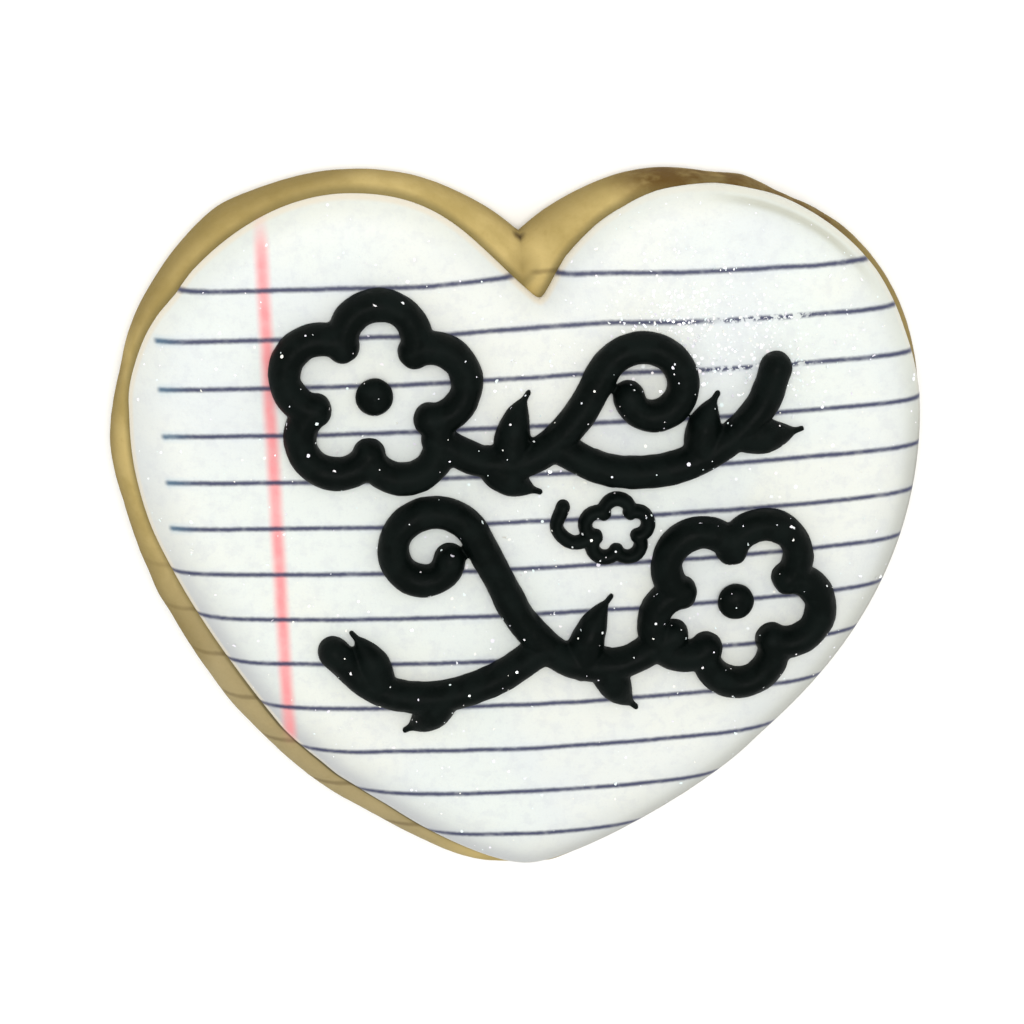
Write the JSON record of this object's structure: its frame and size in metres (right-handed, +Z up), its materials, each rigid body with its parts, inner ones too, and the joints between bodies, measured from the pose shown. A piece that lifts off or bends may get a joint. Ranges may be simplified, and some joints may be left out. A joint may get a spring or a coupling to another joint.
{
  "type": "iced heart sugar cookie",
  "caption": "Heart-shaped sugar cookie with flooded white icing, ruled like notebook paper, and raised black piped flower sprays.",
  "frame": {"origin": "under the middle of the cookie's outline, on the plane that the cookie lies on", "axes": "+Z up through the icing, +X across the heart to its right lobe, +Y from the tip to the cleft"},
  "size_m": [0.093, 0.0845, 0.0151],
  "materials": {
    "baked_dough": null,
    "white_icing": null,
    "black_icing": null
  },
  "bodies": {
    "root": {"cookie": "baked_dough", "icing": "white_icing", "upper_spray": "black_icing", "lower_spray": "black_icing", "small_flower": "black_icing", "upper_flower_eye": "black_icing", "lower_flower_eye": "black_icing"}
  },
  "joints": []
}
